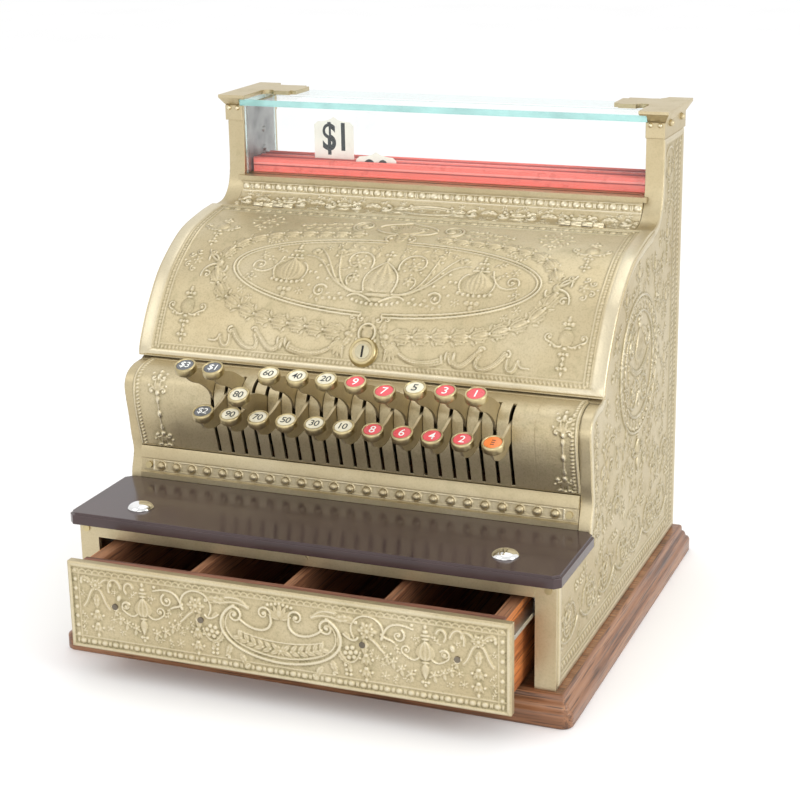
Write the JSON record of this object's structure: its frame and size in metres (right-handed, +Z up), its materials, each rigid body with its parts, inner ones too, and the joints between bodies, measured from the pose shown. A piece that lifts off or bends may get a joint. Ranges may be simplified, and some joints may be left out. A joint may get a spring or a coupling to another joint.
{
  "type": "cash register",
  "caption": "Antique countertop cash register with press-down lever keys, pop-up amount flags behind glass, a curved hinged lid and a wooden cash drawer.",
  "frame": {"origin": "centre of the wooden base's underside", "axes": "+X to the clerk's right as seen from the front, +Y towards the back, +Z up"},
  "size_m": [0.4506, 0.4462, 0.4326],
  "materials": {
    "nickel_brass": "aged nickel-plated cast brass, satin with polished edges",
    "dull_brass": "worn satin",
    "bell_brass": "polished",
    "steel": "dull bright steel",
    "dark_screw": "dark oxidised",
    "bright_chrome": "polished",
    "oak": "stained oak with a satin varnish",
    "drawer_wood": "stained, bare inside",
    "dark_shelf": "dark brown, polished",
    "plate_glass": "clear with a green-blue edge",
    "pane_glass": "clear",
    "red_paint": "coral red enamel",
    "cream_enamel": "cream enamel with dark figures",
    "key_dark": "brass rim with a dark grey face",
    "key_cream": "brass rim with a cream face",
    "key_red": "brass rim with a red face",
    "key_orange": "brass rim with an orange face"
  },
  "bodies": {
    "cabinet": {"wooden_base": "oak", "side_frame_left": "nickel_brass", "side_frame_right": "nickel_brass", "back_cover": "nickel_brass", "front_frame": "nickel_brass", "shelf": "dark_shelf", "shelf_studs": "bright_chrome", "key_panel": "nickel_brass", "bead_plate": "nickel_brass", "neck_plate": "nickel_brass", "corner_caps": "nickel_brass", "top_glass": "plate_glass", "window_panes": "pane_glass", "flag_housing": "red_paint", "lowered_flags": "cream_enamel", "key_shaft": "steel", "hinge_pins": "steel", "drawer_slides": "steel", "cabinet_screws": "nickel_brass", "bell": "bell_brass"},
    "lid": {"lid": "nickel_brass"},
    "lock": {"lock_core": "dull_brass"},
    "drawer": {"drawer_front": "nickel_brass", "drawer_box": "drawer_wood", "drawer_screws": "dark_screw", "drawer_runners": "steel"},
    "key_dollar_3": {"key_dollar_3": "key_dark"},
    "key_dollar_2": {"key_dollar_2": "key_dark"},
    "key_dollar_1": {"key_dollar_1": "key_dark"},
    "key_90": {"key_90": "key_cream"},
    "key_80": {"key_80": "key_cream"},
    "key_70": {"key_70": "key_cream"},
    "key_60": {"key_60": "key_cream"},
    "key_50": {"key_50": "key_cream"},
    "key_40": {"key_40": "key_cream"},
    "key_30": {"key_30": "key_cream"},
    "key_20": {"key_20": "key_cream"},
    "key_10": {"key_10": "key_cream"},
    "key_9": {"key_9": "key_red"},
    "key_8": {"key_8": "key_red"},
    "key_7": {"key_7": "key_red"},
    "key_6": {"key_6": "key_red"},
    "key_5": {"key_5": "key_cream"},
    "key_4": {"key_4": "key_red"},
    "key_3": {"key_3": "key_red"},
    "key_2": {"key_2": "key_red"},
    "key_1": {"key_1": "key_red"},
    "key_no_sale": {"key_no_sale": "key_orange"},
    "flag_dollar_3": {"flag_dollar_3": "cream_enamel"},
    "flag_dollar_2": {"flag_dollar_2": "cream_enamel"},
    "flag_dollar_1": {"flag_dollar_1": "cream_enamel"},
    "flag_90": {"flag_90": "cream_enamel"},
    "flag_80": {"flag_80": "cream_enamel"},
    "flag_70": {"flag_70": "cream_enamel"},
    "flag_60": {"flag_60": "cream_enamel"},
    "flag_50": {"flag_50": "cream_enamel"},
    "flag_40": {"flag_40": "cream_enamel"},
    "flag_30": {"flag_30": "cream_enamel"},
    "flag_20": {"flag_20": "cream_enamel"},
    "flag_10": {"flag_10": "cream_enamel"}
  },
  "joints": [
    {"name": "key_dollar_3_press", "type": "hinge", "parent": "cabinet", "child": "key_dollar_3", "pos_m": [-0.1229, 0.039, 0.184], "axis": [1, 0, 0], "range_deg": [0, 7.4], "stiffness_Nm_per_rad": 0.5, "springref_deg": -14.32},
    {"name": "key_dollar_2_press", "type": "hinge", "parent": "cabinet", "child": "key_dollar_2", "pos_m": [-0.1102, 0.039, 0.184], "axis": [1, 0, 0], "range_deg": [0, 7.4], "stiffness_Nm_per_rad": 0.5, "springref_deg": -14.32},
    {"name": "key_dollar_1_press", "type": "hinge", "parent": "cabinet", "child": "key_dollar_1", "pos_m": [-0.0975, 0.039, 0.184], "axis": [1, 0, 0], "range_deg": [0, 7.4], "stiffness_Nm_per_rad": 0.5, "springref_deg": -14.32},
    {"name": "key_90_press", "type": "hinge", "parent": "cabinet", "child": "key_90", "pos_m": [-0.0848, 0.039, 0.184], "axis": [1, 0, 0], "range_deg": [0, 7.4], "stiffness_Nm_per_rad": 0.5, "springref_deg": -14.32},
    {"name": "key_80_press", "type": "hinge", "parent": "cabinet", "child": "key_80", "pos_m": [-0.0721, 0.039, 0.184], "axis": [1, 0, 0], "range_deg": [-5.6, 1.8]},
    {"name": "key_70_press", "type": "hinge", "parent": "cabinet", "child": "key_70", "pos_m": [-0.0594, 0.039, 0.184], "axis": [1, 0, 0], "range_deg": [0, 7.4], "stiffness_Nm_per_rad": 0.5, "springref_deg": -14.32},
    {"name": "key_60_press", "type": "hinge", "parent": "cabinet", "child": "key_60", "pos_m": [-0.0467, 0.039, 0.184], "axis": [1, 0, 0], "range_deg": [0, 7.4], "stiffness_Nm_per_rad": 0.5, "springref_deg": -14.32},
    {"name": "key_50_press", "type": "hinge", "parent": "cabinet", "child": "key_50", "pos_m": [-0.034, 0.039, 0.184], "axis": [1, 0, 0], "range_deg": [0, 7.4], "stiffness_Nm_per_rad": 0.5, "springref_deg": -14.32},
    {"name": "key_40_press", "type": "hinge", "parent": "cabinet", "child": "key_40", "pos_m": [-0.0213, 0.039, 0.184], "axis": [1, 0, 0], "range_deg": [0, 7.4], "stiffness_Nm_per_rad": 0.5, "springref_deg": -14.32},
    {"name": "key_30_press", "type": "hinge", "parent": "cabinet", "child": "key_30", "pos_m": [-0.0086, 0.039, 0.184], "axis": [1, 0, 0], "range_deg": [0, 7.4], "stiffness_Nm_per_rad": 0.5, "springref_deg": -14.32},
    {"name": "key_20_press", "type": "hinge", "parent": "cabinet", "child": "key_20", "pos_m": [0.0041, 0.039, 0.184], "axis": [1, 0, 0], "range_deg": [0, 7.4], "stiffness_Nm_per_rad": 0.5, "springref_deg": -14.32},
    {"name": "key_10_press", "type": "hinge", "parent": "cabinet", "child": "key_10", "pos_m": [0.0168, 0.039, 0.184], "axis": [1, 0, 0], "range_deg": [0, 7.4], "stiffness_Nm_per_rad": 0.5, "springref_deg": -14.32},
    {"name": "key_9_press", "type": "hinge", "parent": "cabinet", "child": "key_9", "pos_m": [0.0295, 0.039, 0.184], "axis": [1, 0, 0], "range_deg": [0, 7.4], "stiffness_Nm_per_rad": 0.5, "springref_deg": -14.32},
    {"name": "key_8_press", "type": "hinge", "parent": "cabinet", "child": "key_8", "pos_m": [0.0422, 0.039, 0.184], "axis": [1, 0, 0], "range_deg": [0, 7.4], "stiffness_Nm_per_rad": 0.5, "springref_deg": -14.32},
    {"name": "key_7_press", "type": "hinge", "parent": "cabinet", "child": "key_7", "pos_m": [0.0549, 0.039, 0.184], "axis": [1, 0, 0], "range_deg": [-1.4, 6]},
    {"name": "key_6_press", "type": "hinge", "parent": "cabinet", "child": "key_6", "pos_m": [0.0676, 0.039, 0.184], "axis": [1, 0, 0], "range_deg": [0, 7.4], "stiffness_Nm_per_rad": 0.5, "springref_deg": -14.32},
    {"name": "key_5_press", "type": "hinge", "parent": "cabinet", "child": "key_5", "pos_m": [0.0803, 0.039, 0.184], "axis": [1, 0, 0], "range_deg": [0, 7.4], "stiffness_Nm_per_rad": 0.5, "springref_deg": -14.32},
    {"name": "key_4_press", "type": "hinge", "parent": "cabinet", "child": "key_4", "pos_m": [0.093, 0.039, 0.184], "axis": [1, 0, 0], "range_deg": [0, 7.4], "stiffness_Nm_per_rad": 0.5, "springref_deg": -14.32},
    {"name": "key_3_press", "type": "hinge", "parent": "cabinet", "child": "key_3", "pos_m": [0.1057, 0.039, 0.184], "axis": [1, 0, 0], "range_deg": [0, 7.4], "stiffness_Nm_per_rad": 0.5, "springref_deg": -14.32},
    {"name": "key_2_press", "type": "hinge", "parent": "cabinet", "child": "key_2", "pos_m": [0.1184, 0.039, 0.184], "axis": [1, 0, 0], "range_deg": [0, 7.4], "stiffness_Nm_per_rad": 0.5, "springref_deg": -14.32},
    {"name": "key_1_press", "type": "hinge", "parent": "cabinet", "child": "key_1", "pos_m": [0.1311, 0.039, 0.184], "axis": [1, 0, 0], "range_deg": [0, 7.4], "stiffness_Nm_per_rad": 0.5, "springref_deg": -14.32},
    {"name": "key_no_sale_press", "type": "hinge", "parent": "cabinet", "child": "key_no_sale", "pos_m": [0.1438, 0.039, 0.184], "axis": [1, 0, 0], "range_deg": [0, 7.4], "stiffness_Nm_per_rad": 0.5, "springref_deg": -14.32},
    {"name": "flag_dollar_3_rise", "type": "slide", "parent": "cabinet", "child": "flag_dollar_3", "axis": [0, 0, 1], "range_m": [0, 0.04228]},
    {"name": "flag_dollar_2_rise", "type": "slide", "parent": "cabinet", "child": "flag_dollar_2", "axis": [0, 0, 1], "range_m": [0, 0.04228]},
    {"name": "flag_dollar_1_rise", "type": "slide", "parent": "cabinet", "child": "flag_dollar_1", "axis": [0, 0, 1], "range_m": [-0.042, 0]},
    {"name": "flag_90_rise", "type": "slide", "parent": "cabinet", "child": "flag_90", "axis": [0, 0, 1], "range_m": [0, 0.04228]},
    {"name": "flag_80_rise", "type": "slide", "parent": "cabinet", "child": "flag_80", "axis": [0, 0, 1], "range_m": [-0.03196, 0.01051]},
    {"name": "flag_70_rise", "type": "slide", "parent": "cabinet", "child": "flag_70", "axis": [0, 0, 1], "range_m": [0, 0.04228]},
    {"name": "flag_60_rise", "type": "slide", "parent": "cabinet", "child": "flag_60", "axis": [0, 0, 1], "range_m": [0, 0.04228]},
    {"name": "flag_50_rise", "type": "slide", "parent": "cabinet", "child": "flag_50", "axis": [0, 0, 1], "range_m": [0, 0.04228]},
    {"name": "flag_40_rise", "type": "slide", "parent": "cabinet", "child": "flag_40", "axis": [0, 0, 1], "range_m": [0, 0.04228]},
    {"name": "flag_30_rise", "type": "slide", "parent": "cabinet", "child": "flag_30", "axis": [0, 0, 1], "range_m": [0, 0.04228]},
    {"name": "flag_20_rise", "type": "slide", "parent": "cabinet", "child": "flag_20", "axis": [0, 0, 1], "range_m": [0, 0.04228]},
    {"name": "flag_10_rise", "type": "slide", "parent": "cabinet", "child": "flag_10", "axis": [0, 0, 1], "range_m": [0, 0.04228]},
    {"name": "lid_hinge", "type": "hinge", "parent": "cabinet", "child": "lid", "pos_m": [0, 0.081, 0.3355], "axis": [-1, 0, 0], "range_deg": [0, 114]},
    {"name": "lid_lock_turn", "type": "hinge", "parent": "lid", "child": "lock", "pos_m": [0, -0.0637, 0.247], "axis": [0, -0.8746, 0.4848], "range_deg": [0, 90]},
    {"name": "drawer_slide", "type": "slide", "parent": "cabinet", "child": "drawer", "axis": [0, -1, 0], "range_m": [-0.053, 0.15]}
  ],
  "couplings": [
    {"joint": "flag_dollar_3_rise", "follows": "key_dollar_3_press", "m_per_rad": 0.325},
    {"joint": "flag_dollar_2_rise", "follows": "key_dollar_2_press", "m_per_rad": 0.325},
    {"joint": "flag_90_rise", "follows": "key_90_press", "m_per_rad": 0.325},
    {"joint": "flag_80_rise", "follows": "key_80_press", "m_per_rad": 0.325},
    {"joint": "flag_70_rise", "follows": "key_70_press", "m_per_rad": 0.325},
    {"joint": "flag_60_rise", "follows": "key_60_press", "m_per_rad": 0.325},
    {"joint": "flag_50_rise", "follows": "key_50_press", "m_per_rad": 0.325},
    {"joint": "flag_40_rise", "follows": "key_40_press", "m_per_rad": 0.325},
    {"joint": "flag_30_rise", "follows": "key_30_press", "m_per_rad": 0.325},
    {"joint": "flag_20_rise", "follows": "key_20_press", "m_per_rad": 0.325},
    {"joint": "flag_10_rise", "follows": "key_10_press", "m_per_rad": 0.325}
  ]
}
